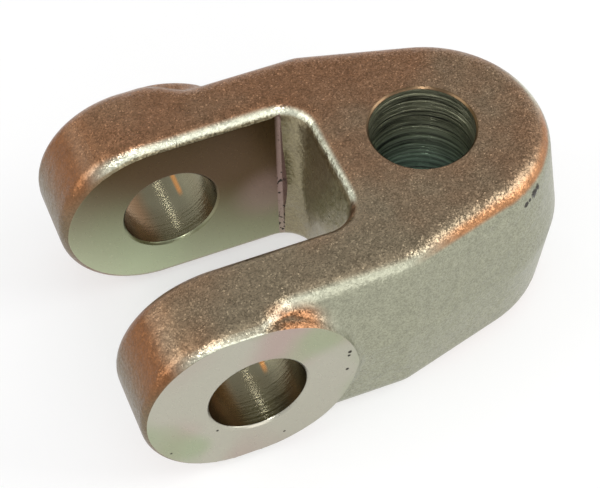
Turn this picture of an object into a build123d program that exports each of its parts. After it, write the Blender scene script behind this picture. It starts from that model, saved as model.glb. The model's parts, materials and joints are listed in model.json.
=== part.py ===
from build123d import *
from math import hypot, radians, tan
import os

# Clevis rod end: one drop forging, machined on the fork faces and in the two bores.
# Frame: origin on the fork pin axis at mid thickness, X from the fork mouth to the
# body end, Y along the fork pin bore, Z along the body bore. Sizes in millimetres.

# Forged blank
thickness = 52.0            # between the flat top and the flat bottom
centre_distance = 60.5      # fork pin bore axis to body bore axis
ear_overhang = 29.2         # fork pin bore axis to the end of the ears
arm_width = 81.3            # across the fork arms on the parting plane
shoulder_setback = 16.7     # arms start to narrow this far behind the bosses
shoulder_radius = 14.0      # rounding of that corner in plan
body_end_offset = 1.1       # centre of the round body end, beyond its bore axis
body_end_radius = 33.7      # round body end on the parting plane
outer_draft = 7.3           # die draft of the outside, degrees
rim_radius = 7.0            # rounding of the outside rims
run_out = 3.0               # cutting shapes reach this far past the forging

# Bosses around the fork pin bore
boss_height = 1.6           # machined boss face above the arm
boss_step = 2.0             # top and bottom of the boss inside the flats
boss_stretch = 5.7          # flat run of the boss along the arm
boss_lead = 1.8             # that run starts this far before the centre of the ear round
boss_stock = 3.0            # taken off each boss face when it is machined
boss_rim_radius = 6.0       # rounding of the boss edge as forged
boss_root_radius = 5.0      # blend of the boss into the arm

# Forged throat between the arms
throat_wall = 13.2          # from the back of the throat to the body bore
throat_corner = 6.6         # its upright corners on the parting plane
throat_draft = 3.4          # die draft of the walls inside the fork, degrees
throat_swell = 2.6          # how far each wall swells in at mid thickness
swell_half_height = 11.5    # half height of that swelling
swell_length = 32.0         # the walls swell in over this length before that back
throat_rim_radius = 5.0     # rounding of the rims inside the fork

# Machining
fork_gap = 40.0             # between the machined inner faces
gap_stock = 1.5             # taken off each inner face on the parting plane
facing_setback = 3.6        # facing stops this far before the back of the throat
facing_corner = 1.2         # corner the facing tool leaves
pin_bore_radius = 12.5
body_bore_radius = 13.3
bore_chamfer = 0.6

half_thickness = thickness / 2
ear_round_x = half_thickness - ear_overhang
body_end_x = centre_distance + body_end_offset
throat_x = centre_distance - body_bore_radius - throat_wall
throat_half_width = fork_gap / 2 - gap_stock
mouth_x = -ear_overhang - run_out
swell_x = throat_x - swell_length
swell_start_x = swell_x - throat_corner / 2
boss_radius = half_thickness - boss_step
boss_x = ear_round_x - boss_lead + boss_stretch / 2
shoulder_x = boss_x + boss_stretch / 2 + boss_radius + shoulder_setback
boss_span = arm_width + 2 * boss_height
boss_forged_y = boss_span / 2 + boss_stock


def throat_opening(height):
    """How far die draft opens each inner wall at a height above the parting plane."""
    return height * tan(radians(throat_draft))


def is_upper_rim(edge):
    """Edges around the flat top and down the rounded ear ends."""
    centre = edge.center()
    on_top = centre.Z > half_thickness - 0.01 and centre.X > ear_round_x + 1
    on_round = hypot(centre.X - ear_round_x, centre.Z) > half_thickness - 0.01
    on_ear_end = on_round and centre.Z > 1 and centre.X < ear_round_x - 1
    return on_top or on_ear_end


def is_inside_fork(edge):
    """Edges between the arms and along the back of the throat."""
    centre = edge.center()
    return abs(centre.Y) < fork_gap / 2 + 1 and centre.X < throat_x + run_out


def is_throat_wall(face):
    """Upright faces between the arms and across the back of the throat."""
    centre = face.center()
    between_arms = abs(centre.Y) < fork_gap / 2 and -ear_overhang < centre.X < throat_x + 1
    return between_arms and abs(face.normal_at().Z) < 0.5


def is_boss_rim(edge):
    """Edges around the outer face of the boss stock, above the parting plane."""
    centre = edge.center()
    return abs(centre.Y) > boss_forged_y - 0.01 and centre.Z > 1


with BuildPart() as clevis_body:
    # Upper die half. Plan outline: parallel arms, then flanks that run tangent
    # onto the round body end.
    with BuildSketch(Plane.XY) as outline:
        with Locations((mouth_x, 0)):
            Rectangle(shoulder_x - mouth_x, arm_width, align=(Align.MIN, Align.CENTER))
        with Locations((body_end_x, 0)):
            Circle(body_end_radius)
        make_hull()
        shoulders = outline.vertices().filter_by(lambda vertex: 0 < vertex.X <= shoulder_x)
        fillet(shoulders, shoulder_radius)
    extrude(amount=thickness, taper=outer_draft)

    # Side profile: flat top, full round ear ends.
    with BuildSketch(Plane.XZ) as side_profile:
        with Locations((ear_round_x, 0)):
            Circle(half_thickness)
            Rectangle(3 * centre_distance, thickness, align=(Align.MIN, Align.CENTER))
    extrude(amount=boss_span, both=True, mode=Mode.INTERSECT)
    fillet(clevis_body.edges().filter_by(is_upper_rim), rim_radius)

    # Throat: upright walls between the arms, then die draft on them.
    for height, end_x in ((0, swell_x), (swell_half_height, throat_x)):
        with BuildSketch(Plane.XY.offset(height)) as throat_plan:
            with Locations((mouth_x, 0)):
                size = (end_x - mouth_x, 2 * throat_half_width)
                Rectangle(*size, align=(Align.MIN, Align.CENTER))
            fillet(throat_plan.vertices().group_by(Axis.X)[-1], throat_corner)
        extrude(amount=thickness, mode=Mode.SUBTRACT)
    draft(clevis_body.faces().filter_by(is_throat_wall), Plane.XY, throat_draft)

    # At mid thickness the walls swell in, while their corners tighten by as much.
    # This cut starts within the corners of the one before, so that the two overlap.
    for step in (0.0, 0.5, 1.0):
        height = step * swell_half_height
        opening = throat_opening(height)
        swell = throat_swell * (1 - step * step)
        back_x = throat_x + opening
        mouth_y = throat_half_width + opening
        back_y = mouth_y - swell
        with BuildSketch(Plane.XY.offset(height)) as swelling:
            with BuildLine():
                Polyline(
                    (swell_start_x, -mouth_y),
                    (back_x, -back_y),
                    (back_x, back_y),
                    (swell_start_x, mouth_y),
                    close=True,
                )
            make_face()
            corners = swelling.vertices().group_by(Axis.X)[-1]
            fillet(corners, throat_corner + opening - swell)
    loft(mode=Mode.SUBTRACT)
    throat_rim = clevis_body.edges().filter_by(is_upper_rim).filter_by(is_inside_fork)
    fillet(throat_rim, throat_rim_radius)

    # Boss stock on each ear, blended into the arm and the ear end.
    for side in (-1, 1):
        with BuildSketch(Plane.XZ.offset(side * boss_forged_y)):
            with Locations((boss_x, 0)):
                SlotCenterToCenter(boss_stretch, 2 * boss_radius)
                below = (4 * boss_radius, boss_radius)
                Rectangle(*below, align=(Align.CENTER, Align.MAX), mode=Mode.SUBTRACT)
        extrude(amount=-side * (boss_forged_y - fork_gap / 2 - rim_radius))
        boss_root = clevis_body.edges(Select.NEW)
        fillet(boss_root, boss_root_radius)
        fillet(clevis_body.edges().filter_by(is_boss_rim), boss_rim_radius)

    # Machined boss faces.
    Box(4 * centre_distance, boss_span, 2 * thickness, mode=Mode.INTERSECT)

    # The lower die half mirrors the upper one.
    mirror(about=Plane.XY)

    # Machined inner faces of the ears.
    with BuildSketch(Plane.XY) as gap:
        with Locations((throat_x - facing_setback, 0)):
            Rectangle(2 * centre_distance, fork_gap, align=(Align.MAX, Align.CENTER))
        fillet(gap.vertices().group_by(Axis.X)[-1], facing_corner)
    extrude(amount=thickness, both=True, mode=Mode.SUBTRACT)

    # Fork pin bore through both ears, body bore through the body end.
    with Locations(Plane.XZ):
        Hole(pin_bore_radius)
    with Locations((centre_distance, 0, 0)):
        Hole(body_bore_radius)
    mouths = clevis_body.edges().filter_by(GeomType.CIRCLE)
    mouths = mouths.filter_by(lambda edge: edge.radius in (pin_bore_radius, body_bore_radius))
    chamfer(mouths, bore_chamfer)

clevis_body.part.label = "clevis_body"
os.makedirs("parts", exist_ok=True)
export_step(clevis_body.part, "parts/clevis_body.step")
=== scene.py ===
import json
import math

import bmesh
import bpy
from mathutils import Matrix, Vector, noise


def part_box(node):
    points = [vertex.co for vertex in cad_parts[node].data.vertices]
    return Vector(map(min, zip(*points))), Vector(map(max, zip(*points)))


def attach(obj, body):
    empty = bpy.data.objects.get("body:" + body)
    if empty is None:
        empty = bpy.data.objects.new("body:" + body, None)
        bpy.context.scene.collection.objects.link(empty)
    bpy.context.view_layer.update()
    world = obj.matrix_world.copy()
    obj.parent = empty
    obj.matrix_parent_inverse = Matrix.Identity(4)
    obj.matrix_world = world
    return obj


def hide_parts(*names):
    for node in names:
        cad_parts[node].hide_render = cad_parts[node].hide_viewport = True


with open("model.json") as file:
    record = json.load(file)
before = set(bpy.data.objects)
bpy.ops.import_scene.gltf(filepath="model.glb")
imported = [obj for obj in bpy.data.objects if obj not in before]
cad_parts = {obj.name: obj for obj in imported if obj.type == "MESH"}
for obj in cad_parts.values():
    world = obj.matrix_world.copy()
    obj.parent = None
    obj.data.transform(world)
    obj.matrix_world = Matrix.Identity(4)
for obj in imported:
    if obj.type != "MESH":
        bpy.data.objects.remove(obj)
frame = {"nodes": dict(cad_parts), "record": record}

bl_info = {
    "name": "Clevis rod end",
    "version": (1, 0, 0),
    "blender": (4, 5, 0),
    "location": "View3D > Sidebar > Clevis",
    "description": "Finishes a forged clevis rod end and sets it on a studio floor",
    "category": "Object",
}

MM = 0.001
# The near side of the forging is -Y, and its far side +Y.
NODE = "clevis_body"
PIECE = "clevis_forging"
MOUNTS = {mount["name"]: mount for mount in frame["record"]["mounts"]}
PIN_RADIUS = MOUNTS["pin_bore"]["dims"]["r_mm"] * MM
BODY_RADIUS = MOUNTS["body_bore"]["dims"]["r_mm"] * MM
BODY_BORE_X = MOUNTS["body_bore"]["pos_m"][0]
BODY_BORE_HALF = MOUNTS["body_bore"]["dims"]["length_mm"] * MM / 2
GAP_HALF = abs(MOUNTS["gap_face_far"]["pos_m"][1])
BOSS_Y = abs(MOUNTS["boss_face_far"]["pos_m"][1])
LOW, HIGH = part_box(NODE)
EAR_X = LOW.x + HIGH.z  # centre of the full round of the ear ends


def linear(hex_colour):
    """The linear colour of an sRGB hex value."""
    channels = [int(hex_colour[k : k + 2], 16) / 255 for k in (1, 3, 5)]
    return tuple(c / 12.92 if c <= 0.04045 else ((c + 0.055) / 1.055) ** 2.4 for c in channels)


def colour(name, hex_colour, description):
    """A colour property that defaults to an sRGB hex value."""
    return bpy.props.FloatVectorProperty(
        name=name, description=description, subtype="COLOR", size=3, min=0, max=1,
        default=linear(hex_colour),
    )


def length(name, millimetres, description):
    """A length property that defaults to a number of millimetres."""
    return bpy.props.FloatProperty(
        name=name, description=description, unit="LENGTH", precision=5, min=0,
        default=millimetres * MM,
    )


def power(name, watts, description):
    """A lamp's power, which defaults to a number of watts."""
    return bpy.props.FloatProperty(name=name, description=description, default=watts, min=0)


def node(tree, kind, inputs=None, **settings):
    """Adds a node: settings are its own, and inputs are values or the sockets that feed it."""
    made = tree.nodes.new(kind)
    for name, value in settings.items():
        setattr(made, name, value)
    for socket, value in (inputs or {}).items():
        if isinstance(value, bpy.types.NodeSocket):
            tree.links.new(value, made.inputs[socket])
        elif made.inputs[socket].type == "RGBA":
            made.inputs[socket].default_value = (*value[:3], 1)
        else:
            made.inputs[socket].default_value = value
    return made


# ---------------------------------------------------------------- settings


class ClevisSurfaceSettings(bpy.types.PropertyGroup):
    """Sizes and colours of the forged skin and the machined faces."""

    olive: colour("Olive plating", "#9B9B87", "Chromated zinc on the upright flanks")
    # Painted shade high on the inner faces of the fork, and a brown that lies at random in patches
    # in its bores.
    umber_and_painted_shade: colour("Umber plating", "#634F34", "Browner chromate high in the fork and in its bores")
    wall: colour("Throat plating", "#9A9075", "Pale chromate on the forged walls of the throat")
    # Painted reflection of the lit floor, low on the inner faces of the fork.
    foot: colour("Foot plating", "#BCC6A4", "Green-white chromate low inside the fork")
    # Painted shade on the ear ends.
    painted_ear_shade: colour("Tip plating", "#776954", "Bronze chromate round the ear ends")
    # Painted copper highlight on the near rim of the body end.
    painted_body_end_highlight: colour("Blush tint", "#A87A56", "Thin copper tint on the near rim of the body end")
    # Painted red-brown reflection on the ear ends where they slope, and behind the bosses.
    painted_russet_reflection: colour("Russet plating", "#835A3C", "Reddish chromate on ear ends and behind bosses")
    soot: colour("Soot", "#353029", "Dark dirt in bruises, nicks and chips")
    # Painted warm gleam of light along the low side of each fork bore.
    painted_bore_gleam: colour("Streak tint", "#E0A060", "Run of thick chromate in the fork bores")
    # Painted highlight on the rolled rims.
    painted_rim_highlight: colour("Pale rims", "#CCCDB9", "Thin bright plating on the rolled rims")
    # Painted reflection of a warm room on the flat top and bottom, and on the far rims.
    painted_top_reflection: colour("Bronze plating", "#8F6B50", "Thicker chromate on the flat top and bottom")
    # Clouds that vary the painted reflection on the flat top and bottom.
    moss: colour("Moss plating", "#8D806A", "Greener clouds on the flat top and bottom")
    # Painted copper reflection on the top towards the ears, and a painted red glow low in the fork
    # bores.
    copper: colour("Copper tint", "#9C6C48", "Reddest chromate, on the ears and in their bores")
    faced: colour("Faced plating", "#B3B0A1", "Plating on the faces milled flat")
    rose: colour("Rose tint", "#AF958F", "Pink interference tint of the thin chromate")
    lime: colour("Lime tint", "#99A683", "Green interference tint of the thin chromate")
    bore_green: colour("Bore green", "#6A8070", "Oily green-grey of the rough body bore")
    bore_brown: colour("Bore brown", "#8E8A72", "Brown plating of the reamed fork bores")
    grit: length("Blast grit", 0.33, "Width of one dent of the shot-blasted skin")
    ring_pitch: length("Ring pitch", 2.8, "Feed of the coarse cut in the body bore")
    ring_depth: length("Ring depth", 0.22, "Depth of the coarse cut in the body bore")
    boss_edge: length("Boss edge", 23.2, "Radius of the round ends of the machined boss faces")
    boss_lead: length("Boss lead", 1.8, "Front centre of a boss, ahead of that of the ear round")
    shoulder_fade: length("Shoulder fade", 14, "Over which a boss shoulder runs into the arm rim")


class ClevisStageSettings(bpy.types.PropertyGroup):
    """Floor, lamps and camera."""

    floor_size: length("Floor size", 6000, "Width of the floor")
    floor_lift: bpy.props.FloatProperty(
        name="Floor lift", description="Share of plain white in the floor as the camera sees it",
        default=0.5, min=0, max=1,
    )
    front_power: power("Front lamp", 1.4, "Power of the wide low lamp in front, in watts")
    key_power: power("Key lamp", 2.5, "Power of the small lamp beside the camera, in watts")
    back_power: power("Back lamp", 0.2, "Power of the small lamp behind, in watts")
    left_power: power("Left lamp", 3.0, "Power of the soft lamp on the left, in watts")
    right_power: power("Right lamp", 5.0, "Power of the soft lamp on the right, in watts")
    lens: bpy.props.FloatProperty(
        name="Focal length", description="Camera focal length in millimetres",
        default=120.139, min=1,
    )


# ---------------------------------------------------------------- shape

ZONES = ("forged", "faced", "chamfer", "pin_bore", "body_bore")

# How a face of the forging is told from where it lies and which way it faces.
BORE_SLACK = 0.05 * MM  # a facet of a bore lies this near its radius
CHAMFER = 0.61 * MM  # a chamfer ends this far outside its bore
CHAMFER_LEAN = (0.5, 0.9)  # part of a chamfer's normal along its bore
FLAT_SLACK = 0.01 * MM  # a machined face lies this near its plane
SQUARE = 0.999  # part of its normal across the arms
FACING_CORNER = (28.9 * MM, 30.45 * MM)  # the facing cut ends between these, along the fork
FACING_LEAN = -0.05  # its corner faces the fork mouth by more than this

# The rolled shoulders of the bosses.
SHOULDER_TURN = math.radians(50)  # how far the roll turns down before the boss face cuts it
SHOULDER_BLEND = 0.5 * MM  # the roll and the skin below it run together over this
SHOULDER_RISE = 3 * MM  # height over which the roll grows to its full push
SHOULDER_END = (12 * MM, 17 * MM)  # the roll dies out between these, along the arm
RUN_IN_START = 0.5 * MM  # where the shoulder starts to run into the arm rim
RUN_IN_SHIFT = 5.95 * MM  # how far inwards that takes it
SHOULDER_INNER = 28 * MM  # the skin moves outside this width
CUT_INNER = 30 * MM  # the skin is cut finer outside this width
CUTS_ALONG = range(-29, 18)  # x of the planes that cut it, in millimetres
CUTS_ACROSS = range(31, 43)  # and y, on both sides
CUT_SLACK = 0.005 * MM  # a vertex this near a plane counts as on it

# The coarse rings in the body bore.
RING_STEP = 0.35 * MM  # height of a row of facets
RING_RISE = 0.8  # share of a ring that gets deeper; the rest is its steep end
RING_DEPTH_SHARE = 0.75  # of the depth, in an untorn ring
WANDER = 0.35  # how far a ring wanders, in rings
WANDER_LENGTH = 14 * MM
TEAR_SHARE = 0.35  # of the depth, torn out of a ring at most
TEAR_LENGTH = 0.9 * MM
TEARS_ROUND = 4  # how quickly the tears change round the bore
MOUTH_FADE = 1.5 * MM  # the rings fade out towards each mouth

MERGE = 0.001 * MM  # vertices this near each other are one
SHARP = math.radians(32)  # an edge that turns by more stays sharp


def zone(centre, normal):
    """Which finish a face of the forging has."""
    width = abs(centre.y)
    from_pin = math.hypot(centre.x, centre.z)
    from_bore = math.hypot(centre.x - BODY_BORE_X, centre.y)
    least, most = CHAMFER_LEAN
    if from_bore < BODY_RADIUS + BORE_SLACK:
        return "body_bore"
    if from_bore < BODY_RADIUS + CHAMFER and least < abs(normal.z) < most:
        return "chamfer"
    if from_pin < PIN_RADIUS + BORE_SLACK and width > GAP_HALF:
        return "pin_bore"
    if from_pin < PIN_RADIUS + CHAMFER and least < abs(normal.y) < most:
        return "chamfer"
    from_plane = min(abs(width - BOSS_Y), abs(width - GAP_HALF))
    if from_plane < FLAT_SLACK and abs(normal.y) > SQUARE:
        return "faced"
    start, end = FACING_CORNER
    if width < GAP_HALF and start < centre.x < end and normal.x < FACING_LEAN:
        return "faced"
    return "forged"


def ease(low, high, value):
    """Smooth step from 0 at low to 1 at high."""
    share = min(1.0, max(0.0, (value - low) / (high - low)))
    return share * share * (3 - 2 * share)


def shoulder(place, settings):
    """Where the rolled shoulder of a boss puts a place on the outside of an ear."""
    width = abs(place.y)
    along = min(place.x - EAR_X, 0.0)
    reach = math.hypot(along, place.z)
    lean = along / reach
    lead = settings.boss_lead
    edge = math.sqrt(settings.boss_edge**2 - lead**2 * (1 - lean**2)) - lead * lean
    roll = (HIGH.z - edge) / (1 - math.cos(SHOULDER_TURN))
    run_in = ease(RUN_IN_START, RUN_IN_START + settings.shoulder_fade, place.x)
    across = width - (BOSS_Y - roll * math.sin(SHOULDER_TURN) - RUN_IN_SHIFT * run_in)
    up = reach - (HIGH.z - roll)
    if up <= 0:
        return place
    across = max(across, 0.0)
    distance = math.hypot(across, up)
    push = roll - distance
    if push < SHOULDER_BLEND:
        push = max(0.0, push + SHOULDER_BLEND) ** 2 / (4 * SHOULDER_BLEND)
    push *= ease(0.0, SHOULDER_RISE, up) * (1 - ease(*SHOULDER_END, place.x))
    new_reach = min(HIGH.z, reach + push * up / distance)
    new_width = min(BOSS_Y, width + push * across / distance)
    scale = new_reach / reach
    x = EAR_X + along * scale if along < 0 else place.x
    return Vector((x, math.copysign(new_width, place.y), place.z * scale))


def ring_cut(angle, z, settings):
    """How deep the coarse tool cut into the body bore at a place on its wall."""
    c, s = math.cos(angle), math.sin(angle)
    wander = noise.noise(Vector((c, s, z / WANDER_LENGTH)))
    share = (z / settings.ring_pitch + angle / math.tau + WANDER * wander) % 1.0
    ridge = share / RING_RISE if share < RING_RISE else (1 - share) / (1 - RING_RISE)
    torn = noise.noise(Vector((TEARS_ROUND * c, TEARS_ROUND * s, z / TEAR_LENGTH)))
    fade = min(1.0, (BODY_BORE_HALF - abs(z)) / MOUTH_FADE)
    cut = max(0.0, RING_DEPTH_SHARE * ridge + TEAR_SHARE * torn)
    return settings.ring_depth * fade * cut


class CLEVIS_OT_forging(bpy.types.Operator):
    """Copy the forging as one closed mesh, roll its boss shoulders and cut its bore rings"""

    bl_idname = "clevis.forging"
    bl_label = "Forged and machined body"

    def execute(self, context):
        settings = context.scene.clevis_surface
        forging = frame["nodes"][NODE]
        bm = bmesh.new()
        bm.from_mesh(forging.data)
        bmesh.ops.remove_doubles(bm, verts=bm.verts, dist=MERGE)
        layer = bm.faces.layers.int.new("zone")
        for face in bm.faces:
            face[layer] = ZONES.index(zone(face.calc_center_median(), face.normal))

        self.roll_shoulders(bm, layer, settings)
        self.cut_rings(bm, layer, settings)

        bm.normal_update()
        for face in bm.faces:
            face.smooth = True
            face.material_index = face[layer]
        for edge in bm.edges:
            zones = {face[layer] for face in edge.link_faces}
            edge.smooth = len(zones) == 1 and edge.calc_face_angle(0) < SHARP
        mesh = bpy.data.meshes.new(PIECE)
        bm.to_mesh(mesh)
        bm.free()

        body = bpy.data.objects.new(PIECE, mesh)
        context.scene.collection.objects.link(body)
        weighted = body.modifiers.new("Flat faces stay flat", "WEIGHTED_NORMAL")
        weighted.keep_sharp = True
        weighted.weight = 100
        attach(body, "root")
        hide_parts(NODE)
        return {"FINISHED"}

    def roll_shoulders(self, bm, layer, settings):
        """Rolls the flat top of each ear out to the edge of its boss face, as the die does."""
        forged = ZONES.index("forged")
        end = SHOULDER_END[1]
        cuts = [((k * MM, 0, 0), (1, 0, 0)) for k in CUTS_ALONG]
        cuts += [((0, side * k * MM, 0), (0, 1, 0)) for k in CUTS_ACROSS for side in (-1, 1)]
        for place, normal in cuts:
            skin = [
                face for face in bm.faces
                if face[layer] == forged
                and min(vert.co.x for vert in face.verts) < end
                and max(abs(vert.co.y) for vert in face.verts) > CUT_INNER
            ]
            # Unlike a set, the keys of a dict come in the same order each time.
            parts = dict.fromkeys(
                item for face in skin for item in (face, *face.edges, *face.verts)
            )
            bmesh.ops.bisect_plane(
                bm, geom=list(parts), dist=CUT_SLACK, plane_co=place, plane_no=normal,
            )
        for vert in bm.verts:
            outside = SHOULDER_INNER < abs(vert.co.y) < BOSS_Y - FLAT_SLACK and vert.co.x < end
            if outside and all(face[layer] == forged for face in vert.link_faces):
                vert.co = shoulder(vert.co, settings)

    def cut_rings(self, bm, layer, settings):
        """Replaces the smooth wall of the body bore by one drawn down in small steps."""
        bore = ZONES.index("body_bore")
        wall = [face for face in bm.faces if face[layer] == bore]
        bmesh.ops.delete(bm, geom=wall, context="FACES")
        mouths = [edge for edge in bm.edges if edge.is_boundary]
        upper = [edge for edge in mouths if edge.verts[0].co.z > 0]
        lower = [edge for edge in mouths if edge.verts[0].co.z < 0]
        if not upper or len(upper) != len(lower):
            raise RuntimeError("The body bore has no pair of matching rims")
        steps = round(2 * BODY_BORE_HALF / RING_STEP)
        loop = upper
        for _ in range(1, steps):
            made = bmesh.ops.extrude_edge_only(bm, edges=loop)["geom"]
            verts = [item for item in made if isinstance(item, bmesh.types.BMVert)]
            loop = [item for item in made if isinstance(item, bmesh.types.BMEdge)]
            bmesh.ops.translate(bm, verts=verts, vec=(0, 0, -2 * BODY_BORE_HALF / steps))
            for face in {face for edge in loop for face in edge.link_faces}:
                face[layer] = bore
        bridged = bmesh.ops.bridge_loops(bm, edges=loop + lower)
        for face in bridged["faces"]:
            face[layer] = bore
        for vert in {vert for face in bm.faces if face[layer] == bore for vert in face.verts}:
            dx, dy = vert.co.x - BODY_BORE_X, vert.co.y
            depth = ring_cut(math.atan2(dy, dx), vert.co.z, settings)
            radius = math.hypot(dx, dy)
            vert.co.x += dx / radius * depth
            vert.co.y += dy / radius * depth
        bmesh.ops.recalc_face_normals(bm, faces=bm.faces)


# ---------------------------------------------------------------- finishes

FACTOR, COLOUR_A, COLOUR_B, MIXED = 0, 6, 7, 2  # sockets of a colour Mix node
NUMBER_A, NUMBER_B = 2, 3  # sockets of a number Mix node
LINEAR, SMOOTH = "LINEAR", "SMOOTHSTEP"

# In each table of masks below, a row has the field that the mask follows, the two values of that
# field between which the mask changes, what the mask is at each, and how it changes. An overlap
# holds where all of its parts do. A pattern is as wide as the real one, unless its line says so.

# Forged skin. The width of a dent of the blasting is in the settings, and is the real one.
CHROMATE_CLOUD = 22 * MM
MOTTLE = 2.5 * MM
LUMP = 6 * MM
LUMP_HEIGHT = 0.4 * MM
PIT = 1.1 * MM  # coarser than the real scale pits, which would not show
PIT_DEPTH = 0.14 * MM
MOSS_LEAN = -4.5  # how much mossier the near arm is, per metre
MOSS_CLOUD = (0.5, 0.25)  # share of the cloud in the moss, and the moss without any
BOSS_ROOT_CENTRE = (0.7 * MM, 0.0, 0.0)  # the axis of the boss roots goes through it
SKIN_MASKS = {
    # The walls of the throat
    "throat": ("width", 24.5 * MM, 21.5 * MM, 0, 1, LINEAR),
    "fork": ("x", 44 * MM, 38 * MM, 0, 1, LINEAR),
    # The rims, painted light as a highlight, and where they are olive, copper or brown instead:
    # the copper a painted highlight and the brown a painted reflection
    "rim": ("level", 0.41, 0.58, 0, 1, SMOOTH),
    "outward": ("width", 26 * MM, 30 * MM, 0, 0.8, LINEAR),
    "arm": ("x", 6 * MM, 18 * MM, 0, 1, SMOOTH),
    # The rim highlight is painted copper on the near side of the body end; the far rims get the
    # painted top reflection.
    "body_end": ("x", 40 * MM, 58 * MM, 0, 1, SMOOTH),
    "near_side": ("facing", 0.1, -0.25, 0, 1, SMOOTH),
    "far_side": ("facing", 0.08, 0.35, 0, 0.9, SMOOTH),
    # The ear ends, darkened as painted shade, and how far they slope, where a painted red-brown
    # reflection lies
    "ear_end": ("x", -12 * MM, -22 * MM, 0, 1, SMOOTH),
    "slope": ("level", 0.1, 0.65, 0, 1, SMOOTH),
    # The flat top and bottom, whose colour is a painted reflection of a warm room
    "flat": ("level", 0.66, 0.87, 0, 1, SMOOTH),
    "mossy": ("moss", 0.35, 0.7, 0, 1, SMOOTH),
    "toward_ears": ("x", -5 * MM, -21 * MM, 0, 1, SMOOTH),
    "patches": ("cloud", 0.65, 0.4, 0.2, 0.75, LINEAR),
    # The root behind each boss, which gets a painted red-brown reflection
    "boss_ring": ("from_boss", 28.5 * MM, 25.5 * MM, 0, 0.9, SMOOTH),
    "outside": ("width", 36 * MM, 38.5 * MM, 0, 1, LINEAR),
    "past_boss": ("x", 3 * MM, 8 * MM, 0, 1, LINEAR),
    "before_arm": ("x", 21.5 * MM, 14 * MM, 0, 1, SMOOTH),
    "near_face": ("facing", 0, -0.3, 0, 1, LINEAR),
    # Tone and glint of the dents, how far they tilt, and the roughness of the plating
    "faint": ("dent_tone", 0, 1, 0.82, 1.2, LINEAR),
    "strong": ("dent_tone", 0, 1, 0.68, 1.4, LINEAR),
    "glint": ("dent_glint", 0.955, 0.975, 0, 0.9, LINEAR),
    "shade": ("mottle", 0.3, 0.7, 0.9, 1.1, LINEAR),
    "tilt": ("level", 0.93, 0.99, 0.16, 0.42, LINEAR),
    "rough": ("mottle", 0.3, 0.7, 0.27, 0.4, LINEAR),
}
SKIN_OVERLAPS = {
    "hollow": ("throat", "fork"),
    "dull": ("outward", "arm"),
    "body_end_highlight": ("body_end", "near_side"),
    "coppery": ("toward_ears", "patches"),
    "root": ("boss_ring", "outside", "past_boss", "before_arm", "near_face"),
    "top_glint": ("glint", "flat"),
}

# Machined faces.
ROSE_CLOUD = 30 * MM
LIME_CLOUD = 21 * MM
CHIP = 1.2 * MM
CHIP_TOP = 4 * MM  # the corner is whole above this
CHIP_GUARD = 0.12  # what that takes from the noise of the chips
MILLING = 0.8 * MM  # coarser than the real feed marks, which would not show
MILLING_DEPTH = 0.004 * MM
CLIMB_WAVE = 12 * MM  # how far the clouds shift the umber up and down
CLIMB_SLANT = 0.5  # how far it sinks towards the throat, per length
ROSE_PATCH = (26 * MM, GAP_HALF, -5 * MM)  # its middle, on the inner face of the far ear
CORNER = (29.9 * MM, 0.9 * MM)  # middle and half width of the corner of the facing cut
EDGE_ROUND = 0.5 * MM  # how wide the edges catch the light
FACED_MASKS = {
    "rosy": ("rose_cloud", 0.42, 0.66, 0, 0.7, SMOOTH),
    "limy": ("lime_cloud", 0.48, 0.68, 0, 0.7, SMOOTH),
    # Between the arms: painted shade that climbs the inner faces, and rose blotches and a patch
    "inner": ("width", 21.5 * MM, 20.5 * MM, 0, 1, LINEAR),
    "painted_shade_climb": ("slant", -26 * MM, 22 * MM, 0, 1, SMOOTH),
    "blotch": ("rose_cloud", 0.42, 0.66, 0, 0.084, SMOOTH),
    "patch": ("from_patch", 12 * MM, 3 * MM, 0, 0.4, SMOOTH),
    # The corner of the facing cut
    "pink": ("width", 21.5 * MM, 20.5 * MM, 0, 0.6, LINEAR),
    "chips": ("bite", 0.57, 0.6, 0, 1, LINEAR),
    # Roughness
    "rough": ("milling", 0.3, 0.7, 0.27, 0.3, LINEAR),
}
FACED_OVERLAPS = {
    "pink_corner": ("pink", "corner"),
    "chipped": ("chips", "inner", "corner"),
}

# Reamed bores.
REAMED_ROUGHNESS = 0.24
REAMER_LINE = 0.7 * MM  # coarser than the real lines, which would not show
REAMER_LINE_DEPTH = 0.08 * MM
LINES_ROUND = (0.04, 1.0, 0.04)  # stretches the lines round the bore
BROWN_PATCH = 12 * MM
TORN_GRAIN = 0.6 * MM
TORN_GRAIN_DEPTH = 0.04 * MM
GLEAM_X = 6.4 * MM  # where the painted gleam of light lies
REAMED_MASKS = {
    "brown": ("patch", 0.35, 0.65, 0, 0.35, LINEAR),
    "gleam_band": ("from_gleam", 0.9 * MM, 0.1 * MM, 0, 0.9, SMOOTH),
    "low": ("z", 0, -1 * MM, 0, 1, LINEAR),
    "end": ("depth", 10.5 * MM, 7.5 * MM, 0, 1, SMOOTH),
    # A painted red glow of reflected light, low in each bore towards -X.
    "glow": ("x", -1.5 * MM, -6 * MM, 0, 0.5, SMOOTH),
}
REAMED_OVERLAPS = {"run": ("gleam_band", "low", "end"), "warm": ("glow", "low")}

# Rough body bore.
RINGED_ROUGHNESS = 0.42
TORN_LINE = 0.9 * MM  # coarser than the real tears of a ring, which would not show
TORN_LINE_DEPTH = 0.7 * MM  # and deeper
LINES_LEVEL = (0.03, 0.03, 1.0)  # stretches the lines round the bore
RINGED_MASKS = {
    # Painted highlight on the crests of the lines and painted shade in their grooves.
    "tone": ("lines", 0.35, 0.65, 0.12, 2.0, LINEAR),
    "high": ("z", -6 * MM, 18 * MM, 0, 0.8, SMOOTH),
}

# Bruises and nicks have ragged outlines. Their distances are in radii.
RAGGED = 0.6 * MM  # width of the teeth
RAGGED_SHIFT = -1.2  # how far the noise of the teeth shifts a place
RAGGED_EDGE = (0.6, 0.3)  # no mark beyond the first, a full one within the second

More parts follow.
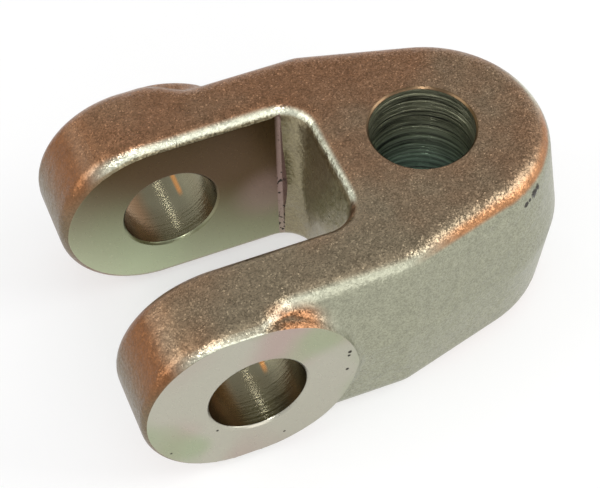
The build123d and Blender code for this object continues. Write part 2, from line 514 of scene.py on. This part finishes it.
# Bruises of the forged skin: place and radius, in millimetres.
BRUISES = (
    ((80.0, -24.0, 20.4), 1.1),
    ((79.0, -25.4, 20.0), 1.2),
    ((76.1, -27.4, 19.2), 0.8),
    ((77.2, -26.7, 19.6), 0.6),
)
# Nicks in the near boss face, in the same way.
NICKS = (
    ((23.5, -42.25, 4.9), 0.5),
    ((23.3, -42.25, 3.6), 0.4),
    ((22.8, -42.25, -1.7), 0.4),
    ((-23.0, -42.25, -12.0), 0.3),
    ((-11.0, -42.25, -9.0), 0.3),
    ((6.0, -42.25, -19.0), 0.3),
)


def bare_material(name):
    """A new material, and its node tree with nothing in it."""
    material = bpy.data.materials.new(name)
    material.use_nodes = True
    material.node_tree.nodes.clear()
    return material, material.node_tree


def chart(tree, fields, masks, overlaps):
    """Adds a table's masks, and then its overlaps, to the named fields of a finish."""
    for name, (field, start, end, low, high, change) in masks.items():
        ramp = node(
            tree, "ShaderNodeMapRange",
            {
                "Value": fields[field], "From Min": start, "From Max": end,
                "To Min": low, "To Max": high,
            },
            interpolation_type=change,
        )
        fields[name] = ramp.outputs[0]
    for name, parts in overlaps.items():
        fields[name] = fields[parts[0]]
        for part in parts[1:]:
            both = node(
                tree, "ShaderNodeMath", {0: fields[name], 1: fields[part]}, operation="MULTIPLY",
            )
            fields[name] = both.outputs[0]


def coated(tree, base, coats, tone=None):
    """Colour of a base under coats, each where its mask is, and all of it as bright as a tone."""
    for mask, coat in coats:
        laid = node(
            tree, "ShaderNodeMix", {FACTOR: mask, COLOUR_A: base, COLOUR_B: coat},
            data_type="RGBA",
        )
        base = laid.outputs[MIXED]
    if tone is None:
        return base
    toned = node(tree, "ShaderNodeVectorMath", {0: base, "Scale": tone}, operation="SCALE")
    return toned.outputs[0]


def plated_metal(tree, plating, roughness, normal):
    """Joins a plating to the shader of a plated metal, and that to the material."""
    shader = node(
        tree, "ShaderNodeBsdfPrincipled",
        {"Base Color": plating, "Metallic": 1.0, "Roughness": roughness, "Normal": normal},
    )
    node(tree, "ShaderNodeOutputMaterial", {"Surface": shader.outputs[0]})


def marks(tree, at, places):
    """Mask that is 1 at small ragged spots round the places and 0 elsewhere."""
    ragged = node(tree, "ShaderNodeTexNoise", {"Vector": at, "Scale": 1 / RAGGED, "Detail": 2.0})
    mask = 0.0
    for place, millimetres in places:
        radius = millimetres * MM
        apart = node(
            tree, "ShaderNodeVectorMath", {0: at, 1: Vector(place) * MM}, operation="DISTANCE",
        )
        shifted = node(
            tree, "ShaderNodeMath",
            {0: ragged.outputs["Fac"], 1: RAGGED_SHIFT * radius, 2: apart.outputs["Value"]},
            operation="MULTIPLY_ADD",
        )
        start, full = RAGGED_EDGE
        spot = node(
            tree, "ShaderNodeMapRange",
            {"Value": shifted.outputs[0], "From Min": start * radius, "From Max": full * radius},
        )
        joined = node(tree, "ShaderNodeMath", {0: mask, 1: spot.outputs[0]}, operation="MAXIMUM")
        mask = joined.outputs[0]
    return mask


def skin_plating(tree, settings, fields, tone):
    """Colour of the plated skin, zone by zone, with painted highlights on its rims, painted shade
    on its ear ends and painted reflections on its top, ear slopes and boss roots.
    """
    flank = coated(tree, settings.olive, [(fields["hollow"], settings.wall)])
    # The rims: a painted highlight, olive on the outer arm rims, a painted copper highlight near
    # the body end, and the painted top reflection on the far side.
    rim = coated(
        tree, settings.painted_rim_highlight,
        [
            (fields["dull"], settings.olive),
            (fields["body_end_highlight"], settings.painted_body_end_highlight),
            (fields["far_side"], settings.painted_top_reflection),
        ],
    )
    # Painted shade on the ear ends, and a painted red-brown reflection where they slope.
    ear_end = coated(tree, settings.painted_ear_shade, [(fields["slope"], settings.painted_russet_reflection)])
    # Painted reflection of a warm room on the flat top, with moss clouds and copper patches
    # towards the ears.
    top = coated(
        tree, settings.painted_top_reflection,
        [(fields["mossy"], settings.moss), (fields["coppery"], settings.copper)],
    )
    return coated(
        tree, flank,
        [
            (fields["rim"], rim),
            (fields["ear_end"], ear_end),
            (fields["flat"], top),
            # Painted red-brown reflection on the root behind each boss.
            (fields["root"], settings.painted_russet_reflection),
        ],
        tone,
    )


def skin_grain(tree, at, dents, tilt):
    """Normal of the skin: lumps of the forging, pits of its scale, and a tilt for every dent."""
    lumps = node(tree, "ShaderNodeTexNoise", {"Vector": at, "Scale": 1 / LUMP, "Detail": 2.0})
    uneven = node(
        tree, "ShaderNodeBump",
        {"Height": lumps.outputs["Fac"], "Strength": 1.0, "Distance": LUMP_HEIGHT},
    )
    pits = node(tree, "ShaderNodeTexNoise", {"Vector": at, "Scale": 1 / PIT, "Detail": 2.0})
    pitted = node(
        tree, "ShaderNodeBump",
        {
            "Height": pits.outputs["Fac"], "Strength": 1.0, "Distance": PIT_DEPTH,
            "Normal": uneven.outputs[0],
        },
    )
    # The parts of a dent's colour run from 0 to 1, so it leans either way.
    lean = node(
        tree, "ShaderNodeVectorMath", {0: dents.outputs["Color"], 1: (0.5, 0.5, 0.5)},
        operation="SUBTRACT",
    )
    leaned = node(
        tree, "ShaderNodeVectorMath", {0: lean.outputs[0], "Scale": tilt}, operation="SCALE",
    )
    tilted = node(
        tree, "ShaderNodeVectorMath", {0: leaned.outputs[0], 1: pitted.outputs[0]},
        operation="ADD",
    )
    return node(tree, "ShaderNodeVectorMath", {0: tilted.outputs[0]}, operation="NORMALIZE")


def forged_skin(settings):
    """Drop-forged steel, shot-blasted and yellow-zinc-plated: a satin grit that glints."""
    material, tree = bare_material("blasted_yellow_zinc")
    place = node(tree, "ShaderNodeTexCoord")
    at = place.outputs["Object"]
    where = node(tree, "ShaderNodeSeparateXYZ", {"Vector": at})
    facing = node(tree, "ShaderNodeSeparateXYZ", {"Vector": place.outputs["Normal"]})
    level = node(tree, "ShaderNodeMath", {0: facing.outputs["Z"]}, operation="ABSOLUTE")
    width = node(tree, "ShaderNodeMath", {0: where.outputs["Y"]}, operation="ABSOLUTE")

    # The painted reflection on the flat top is mossier in clouds and towards the near arm.
    cloud = node(
        tree, "ShaderNodeTexNoise", {"Vector": at, "Scale": 1 / CHROMATE_CLOUD, "Detail": 3.0},
    )
    share, least = MOSS_CLOUD
    faint_cloud = node(
        tree, "ShaderNodeMath", {0: cloud.outputs["Fac"], 1: share, 2: least},
        operation="MULTIPLY_ADD",
    )
    moss = node(
        tree, "ShaderNodeMath", {0: where.outputs["Y"], 1: MOSS_LEAN, 2: faint_cloud.outputs[0]},
        operation="MULTIPLY_ADD",
    )

    # Distance from the axis of the boss roots.
    behind = node(
        tree, "ShaderNodeVectorMath", {0: at, 1: BOSS_ROOT_CENTRE}, operation="SUBTRACT",
    )
    sideways = node(
        tree, "ShaderNodeVectorMath", {0: behind.outputs[0], 1: (1.0, 0.0, 1.0)},
        operation="MULTIPLY",
    )
    from_boss = node(
        tree, "ShaderNodeVectorMath", {0: sideways.outputs[0]}, operation="LENGTH",
    )

    # Every dent is a small facet with a tone and a tilt of its own.
    dents = node(
        tree, "ShaderNodeTexVoronoi", {"Vector": at, "Scale": 1 / settings.grit}, feature="F1",
    )
    facet = node(tree, "ShaderNodeSeparateXYZ", {"Vector": dents.outputs["Color"]})
    mottle = node(
        tree, "ShaderNodeTexNoise",
        {"Vector": at, "Scale": 1 / MOTTLE, "Detail": 3.0, "Roughness": 0.6},
    )
    fields = {
        "x": where.outputs["X"],
        "width": width.outputs[0],
        "facing": facing.outputs["Y"],
        "level": level.outputs[0],
        "cloud": cloud.outputs["Fac"],
        "moss": moss.outputs[0],
        "from_boss": from_boss.outputs["Value"],
        "dent_tone": facet.outputs["X"],
        "dent_glint": facet.outputs["Y"],
        "mottle": mottle.outputs["Fac"],
    }
    chart(tree, fields, SKIN_MASKS, SKIN_OVERLAPS)

    dented = node(
        tree, "ShaderNodeMix",
        {FACTOR: fields["flat"], NUMBER_A: fields["faint"], NUMBER_B: fields["strong"]},
        data_type="FLOAT",
    )
    # Glints on the flat top are painted highlights in the colour.
    flecked = node(
        tree, "ShaderNodeMath", {0: dented.outputs[0], 1: fields["top_glint"]}, operation="ADD",
    )
    tone = node(
        tree, "ShaderNodeMath", {0: fields["shade"], 1: flecked.outputs[0]}, operation="MULTIPLY",
    )
    plating = skin_plating(tree, settings, fields, tone.outputs[0])
    soiled = coated(tree, plating, [(marks(tree, at, BRUISES), settings.soot)])
    normal = skin_grain(tree, at, dents, fields["tilt"])
    plated_metal(tree, soiled, fields["rough"], normal.outputs[0])
    return material


def faced_plating(settings):
    """Milled steel in a thin bright chromate: smooth, with rose and lime interference clouds."""
    material, tree = bare_material("milled_bright_zinc")
    place = node(tree, "ShaderNodeTexCoord")
    at = place.outputs["Object"]
    where = node(tree, "ShaderNodeSeparateXYZ", {"Vector": at})
    width = node(tree, "ShaderNodeMath", {0: where.outputs["Y"]}, operation="ABSOLUTE")
    rose_cloud, lime_cloud = (
        node(
            tree, "ShaderNodeTexNoise",
            {"Vector": at, "Scale": 1 / size, "Detail": 1.0, "Distortion": 0.3},
        )
        for size in (ROSE_CLOUD, LIME_CLOUD)
    )

    # Between the arms the colour runs from lime at the foot to brown in the throat: a painted
    # reflection of the lit floor low down, and painted shade high up.
    wavy = node(
        tree, "ShaderNodeMath",
        {0: rose_cloud.outputs["Fac"], 1: CLIMB_WAVE, 2: where.outputs["Z"]},
        operation="MULTIPLY_ADD",
    )
    slant = node(
        tree, "ShaderNodeMath", {0: where.outputs["X"], 1: CLIMB_SLANT, 2: wavy.outputs[0]},
        operation="MULTIPLY_ADD",
    )
    from_patch = node(
        tree, "ShaderNodeVectorMath", {0: at, 1: ROSE_PATCH}, operation="DISTANCE",
    )

    # The corner left by the facing cut is pink, and chipped below the middle.
    middle, half_width = CORNER
    corner = node(
        tree, "ShaderNodeMath", {0: where.outputs["X"], 1: middle, 2: half_width},
        operation="COMPARE",
    )
    torn = node(tree, "ShaderNodeTexNoise", {"Vector": at, "Scale": 1 / CHIP, "Detail": 3.0})
    above = node(
        tree, "ShaderNodeMapRange",
        {"Value": where.outputs["Z"], "From Max": CHIP_TOP, "To Max": CHIP_GUARD},
    )
    bite = node(
        tree, "ShaderNodeMath", {0: torn.outputs["Fac"], 1: above.outputs[0]},
        operation="SUBTRACT",
    )
    milling = node(
        tree, "ShaderNodeTexNoise", {"Vector": at, "Scale": 1 / MILLING, "Detail": 3.0},
    )
    fields = {
        "width": width.outputs[0],
        "rose_cloud": rose_cloud.outputs["Fac"],
        "lime_cloud": lime_cloud.outputs["Fac"],
        "slant": slant.outputs[0],
        "from_patch": from_patch.outputs["Value"],
        "corner": corner.outputs[0],
        "bite": bite.outputs[0],
        "milling": milling.outputs["Fac"],
    }
    chart(tree, fields, FACED_MASKS, FACED_OVERLAPS)

    # Painted reflection and shade on the inner faces, with rose blotches and a rose patch.
    between_arms = coated(
        tree, settings.foot,
        [
            (fields["painted_shade_climb"], settings.umber_and_painted_shade),
            (fields["blotch"], settings.rose),
            (fields["patch"], settings.rose),
        ],
    )
    nicked = node(
        tree, "ShaderNodeMath", {0: marks(tree, at, NICKS), 1: fields["chipped"]},
        operation="MAXIMUM",
    )
    plating = coated(
        tree, settings.faced,
        [
            (fields["rosy"], settings.rose),
            (fields["limy"], settings.lime),
            (fields["inner"], between_arms),
            (fields["pink_corner"], settings.rose),
            (nicked.outputs[0], settings.soot),
        ],
    )
    round_edge = node(tree, "ShaderNodeBevel", {"Radius": EDGE_ROUND}, samples=8)
    grained = node(
        tree, "ShaderNodeBump",
        {
            "Height": milling.outputs["Fac"], "Strength": 0.3, "Distance": MILLING_DEPTH,
            "Normal": round_edge.outputs[0],
        },
    )
    plated_metal(tree, plating, fields["rough"], grained.outputs[0])
    return material


def reamed_wall(settings):
    """Reamed steel bore with fine lines round it: dark, with streaks of light along its length."""
    material, tree = bare_material("reamed_bore_zinc")
    place = node(tree, "ShaderNodeTexCoord")
    at = place.outputs["Object"]
    where = node(tree, "ShaderNodeSeparateXYZ", {"Vector": at})
    patch = node(
        tree, "ShaderNodeTexNoise", {"Vector": at, "Scale": 1 / BROWN_PATCH, "Detail": 1.0},
    )

    # A painted gleam of light, warm in colour, lies along the low side of each bore, at its +Y
    # end.
    aside = node(tree, "ShaderNodeMath", {0: where.outputs["X"], 1: GLEAM_X}, operation="SUBTRACT")
    from_gleam = node(tree, "ShaderNodeMath", {0: aside.outputs[0]}, operation="ABSOLUTE")
    whole = node(tree, "ShaderNodeMath", {0: BOSS_Y, 1: where.outputs["Y"]}, operation="SUBTRACT")
    depth = node(
        tree, "ShaderNodeMath", {0: whole.outputs[0], 1: BOSS_Y + GAP_HALF}, operation="MODULO",
    )
    fields = {
        "x": where.outputs["X"],
        "z": where.outputs["Z"],
        "patch": patch.outputs["Fac"],
        "from_gleam": from_gleam.outputs[0],
        "depth": depth.outputs[0],
    }
    chart(tree, fields, REAMED_MASKS, REAMED_OVERLAPS)
    plating = coated(
        tree, settings.bore_brown,
        [
            (fields["brown"], settings.umber_and_painted_shade),
            (fields["run"], settings.painted_bore_gleam),
            (fields["warm"], settings.copper),
        ],
    )

    stretched = node(tree, "ShaderNodeMapping", {"Vector": at, "Scale": LINES_ROUND})
    lines = node(
        tree, "ShaderNodeTexNoise",
        {"Vector": stretched.outputs[0], "Scale": 1 / REAMER_LINE, "Detail": 3.0},
    )
    grain = node(
        tree, "ShaderNodeTexNoise", {"Vector": at, "Scale": 1 / TORN_GRAIN, "Detail": 2.0},
    )
    torn = node(
        tree, "ShaderNodeBump",
        {"Height": grain.outputs["Fac"], "Strength": 1.0, "Distance": TORN_GRAIN_DEPTH},
    )
    scored = node(
        tree, "ShaderNodeBump",
        {
            "Height": lines.outputs["Fac"], "Strength": 1.0, "Distance": REAMER_LINE_DEPTH,
            "Normal": torn.outputs[0],
        },
    )
    plated_metal(tree, plating, REAMED_ROUGHNESS, scored.outputs[0])
    return material


def ringed_wall(settings):
    """Rough-bored steel in an oily green plating: torn lines round it, bright on their crests."""
    material, tree = bare_material("rough_bored_zinc")
    place = node(tree, "ShaderNodeTexCoord")
    at = place.outputs["Object"]
    where = node(tree, "ShaderNodeSeparateXYZ", {"Vector": at})
    stretched = node(tree, "ShaderNodeMapping", {"Vector": at, "Scale": LINES_LEVEL})
    lines = node(
        tree, "ShaderNodeTexNoise",
        {
            "Vector": stretched.outputs[0], "Scale": 1 / TORN_LINE, "Detail": 5.0,
            "Roughness": 0.65,
        },
    )
    fields = {"z": where.outputs["Z"], "lines": lines.outputs["Fac"]}
    chart(tree, fields, RINGED_MASKS, {})
    plating = coated(
        tree, settings.bore_green, [(fields["high"], settings.bore_brown)], fields["tone"],
    )
    scored = node(
        tree, "ShaderNodeBump",
        {"Height": lines.outputs["Fac"], "Strength": 1.0, "Distance": TORN_LINE_DEPTH},
    )
    plated_metal(tree, plating, RINGED_ROUGHNESS, scored.outputs[0])
    return material


class CLEVIS_OT_finish(bpy.types.Operator):
    """Give each zone of the forging its finish, with painted light and shade in its colours"""

    bl_idname = "clevis.finish"
    bl_label = "Plating and tool marks"

    def execute(self, context):
        settings = context.scene.clevis_surface
        body = bpy.data.objects.get(PIECE)
        if body is None:
            raise RuntimeError("Build the forging before its finish")
        faced = faced_plating(settings)
        finishes = {
            "forged": forged_skin(settings),
            "faced": faced,
            "chamfer": faced,
            "pin_bore": reamed_wall(settings),
            "body_bore": ringed_wall(settings),
        }
        for name in ZONES:
            body.data.materials.append(finishes[name])
        return {"FINISHED"}


# ---------------------------------------------------------------- stage

PAPER = "#FAFAFA"
# The camera's place, and which way the right, the foot and the middle of its view lie.
CAMERA_PLACE = Vector((-0.08481579, -0.30074388, 0.39332653))
CAMERA_RIGHT = Vector((0.92822921, -0.37151498, -0.01916145))
CAMERA_DOWN = Vector((-0.30033526, -0.71800138, -0.62791142))
CAMERA_AHEAD = Vector((0.21952055, 0.58860058, -0.7780489))
# How high a direction points, from -1 to 1, and how bright the studio is there.
HORIZON = (0.12, 0.95)
ZENITH = (0.6, 0.58)
# Each lamp's place, and its width and height, in metres. It points at the origin.
LAMPS = {
    "front": ((0.22, -0.90, 0.40), (0.6, 0.42)),
    "key": ((-0.20, -0.60, 0.80), (0.15, 0.15)),
    "back": ((-0.10, 0.62, 0.80), (0.06, 0.06)),
    "left": ((-0.95, 0.15, 0.55), (0.6, 0.6)),
    "right": ((0.95, -0.35, 0.60), (0.6, 0.6)),
}


class CLEVIS_OT_stage(bpy.types.Operator):
    """Lay a pale floor, hang the lamps and set up the camera"""

    bl_idname = "clevis.stage"
    bl_label = "Floor, lamps and camera"

    def execute(self, context):
        scene = context.scene
        settings = scene.clevis_stage
        self.lay_floor(scene, settings)
        self.light_studio(scene)
        self.hang_lamps(scene, settings)
        self.place_camera(scene, settings)
        scene.view_settings.view_transform = "Standard"
        return {"FINISHED"}

    def place_camera(self, scene, settings):
        camera = bpy.data.objects.new("camera", bpy.data.cameras.new("camera"))
        camera.data.sensor_width = 36
        camera.data.lens = settings.lens
        camera.data.clip_start = 0.01
        turn = Matrix((CAMERA_RIGHT, -CAMERA_DOWN, -CAMERA_AHEAD)).transposed()
        camera.matrix_world = Matrix.Translation(CAMERA_PLACE) @ turn.to_4x4()
        scene.collection.objects.link(camera)
        scene.camera = camera

    def lay_floor(self, scene, settings):
        bm = bmesh.new()
        bmesh.ops.create_grid(bm, x_segments=1, y_segments=1, size=settings.floor_size / 2)
        bmesh.ops.translate(bm, verts=bm.verts, vec=(0, 0, LOW.z))
        mesh = bpy.data.meshes.new("floor")
        bm.to_mesh(mesh)
        bm.free()
        floor = bpy.data.objects.new("floor", mesh)
        scene.collection.objects.link(floor)

        # Matt white paper. The camera and the bright metal see it lifted towards white, with a
        # softer shadow.
        paper, tree = bare_material("matt_white_paper")
        shader = node(
            tree, "ShaderNodeBsdfPrincipled",
            {"Base Color": linear(PAPER), "Roughness": 0.9, "Specular IOR Level": 0.2},
        )
        path = node(tree, "ShaderNodeLightPath")
        seen = path.outputs["Is Camera Ray"]
        for ray in ("Is Glossy Ray", "Is Transmission Ray"):
            either = node(
                tree, "ShaderNodeMath", {0: seen, 1: path.outputs[ray]}, operation="MAXIMUM",
            )
            seen = either.outputs[0]
        share = node(
            tree, "ShaderNodeMath", {0: seen, 1: settings.floor_lift}, operation="MULTIPLY",
        )
        glow = node(tree, "ShaderNodeEmission", {"Color": (1, 1, 1), "Strength": 1.0})
        lifted = node(
            tree, "ShaderNodeMixShader",
            {0: share.outputs[0], 1: shader.outputs[0], 2: glow.outputs[0]},
        )
        node(tree, "ShaderNodeOutputMaterial", {"Surface": lifted.outputs[0]})
        mesh.materials.append(paper)

    def light_studio(self, scene):
        world = bpy.data.worlds.new("studio")
        world.use_nodes = True
        tree = world.node_tree
        tree.nodes.clear()
        place = node(tree, "ShaderNodeTexCoord")
        up = node(tree, "ShaderNodeSeparateXYZ", {"Vector": place.outputs["Generated"]})
        level = node(
            tree, "ShaderNodeMapRange",
            {
                "Value": up.outputs["Z"], "From Min": HORIZON[0], "From Max": ZENITH[0],
                "To Min": HORIZON[1], "To Max": ZENITH[1],
            },
            interpolation_type=SMOOTH,
        )
        sky = node(
            tree, "ShaderNodeBackground", {"Color": (1, 1, 1), "Strength": level.outputs[0]},
        )
        node(tree, "ShaderNodeOutputWorld", {"Surface": sky.outputs[0]})
        scene.world = world

    def hang_lamps(self, scene, settings):
        for name, (place, (width, height)) in LAMPS.items():
            data = bpy.data.lights.new(name, "AREA")
            data.shape = "RECTANGLE"
            data.size = width
            data.size_y = height
            data.energy = getattr(settings, name + "_power")
            lamp = bpy.data.objects.new(name, data)
            lamp.location = Vector(place)
            lamp.rotation_euler = (-lamp.location).to_track_quat("-Z", "Y").to_euler()
            scene.collection.objects.link(lamp)


# ---------------------------------------------------------------- panel


class CLEVIS_PT_sidebar(bpy.types.Panel):
    """Steps and settings of the clevis rod end"""

    bl_idname = "CLEVIS_PT_sidebar"
    bl_label = "Clevis rod end"
    bl_space_type = "VIEW_3D"
    bl_region_type = "UI"
    bl_category = "Clevis"

    def draw(self, context):
        layout = self.layout
        for step in STEPS:
            layout.operator(step)
        for settings in (context.scene.clevis_surface, context.scene.clevis_stage):
            column = layout.column()
            for name in settings.__annotations__:
                column.prop(settings, name)


STEPS = ("clevis.forging", "clevis.finish", "clevis.stage")
CLASSES = (
    ClevisSurfaceSettings,
    ClevisStageSettings,
    CLEVIS_OT_forging,
    CLEVIS_OT_finish,
    CLEVIS_OT_stage,
    CLEVIS_PT_sidebar,
)


def register():
    for kind in CLASSES:
        bpy.utils.register_class(kind)
    bpy.types.Scene.clevis_surface = bpy.props.PointerProperty(type=ClevisSurfaceSettings)
    bpy.types.Scene.clevis_stage = bpy.props.PointerProperty(type=ClevisStageSettings)


def unregister():
    del bpy.types.Scene.clevis_stage
    del bpy.types.Scene.clevis_surface
    for kind in reversed(CLASSES):
        bpy.utils.unregister_class(kind)


def main():
    register()
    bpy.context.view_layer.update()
    bpy.ops.clevis.forging()
    bpy.ops.clevis.finish()
    bpy.ops.clevis.stage()


if __name__ == "__main__":
    main()
